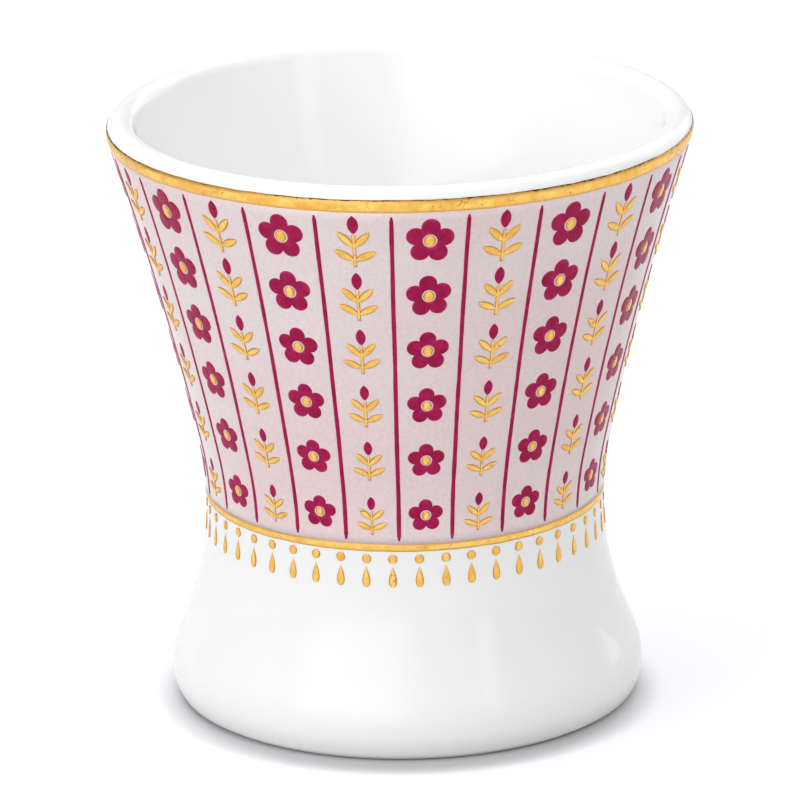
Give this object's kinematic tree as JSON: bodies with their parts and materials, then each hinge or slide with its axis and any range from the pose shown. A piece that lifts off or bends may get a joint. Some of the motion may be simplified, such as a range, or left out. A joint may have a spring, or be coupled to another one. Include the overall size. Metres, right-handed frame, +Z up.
{
  "type": "egg cup",
  "caption": "Waisted porcelain egg cup with a flaring bowl, a hollow swelling foot, gold bands and a pale panelled ground with magenta rosettes and gold sprigs.",
  "frame": {"origin": "centre of the ring that the cup stands on, at table height", "axes": "+Z up along the cup's axis of revolution; -Y faces the viewer of the picture"},
  "size_m": [0.0502, 0.0502, 0.0518],
  "materials": {
    "bare_porcelain": "fine, unglazed, matt",
    "clear_glaze": "high gloss over white porcelain",
    "pale_ground": "gloss, fine soft grain",
    "magenta_enamel": "gloss, slightly raised",
    "gilding": "satin gold, burnished, slightly worn"
  },
  "bodies": {
    "root": {"porcelain_body": "bare_porcelain", "outer_glaze": "clear_glaze", "underside_glaze": "clear_glaze", "pale_ground": "pale_ground", "enamel_stripes": "magenta_enamel", "enamel_rosettes_1": "magenta_enamel", "enamel_rosettes_2": "magenta_enamel", "enamel_rosettes_3": "magenta_enamel", "enamel_rosettes_4": "magenta_enamel", "enamel_rosettes_5": "magenta_enamel", "enamel_rosettes_6": "magenta_enamel", "enamel_buds_1": "magenta_enamel", "enamel_buds_2": "magenta_enamel", "enamel_buds_3": "magenta_enamel", "enamel_buds_4": "magenta_enamel", "enamel_buds_5": "magenta_enamel", "enamel_buds_6": "magenta_enamel", "rim_gold_band": "gilding", "waist_gold_band": "gilding", "gold_beads": "gilding", "gold_drops": "gilding", "gold_eyes_1": "gilding", "gold_eyes_2": "gilding", "gold_eyes_3": "gilding", "gold_eyes_4": "gilding", "gold_eyes_5": "gilding", "gold_eyes_6": "gilding", "gold_sprigs_1": "gilding", "gold_sprigs_2": "gilding", "gold_sprigs_3": "gilding", "gold_sprigs_4": "gilding", "gold_sprigs_5": "gilding", "gold_sprigs_6": "gilding"}
  },
  "joints": []
}
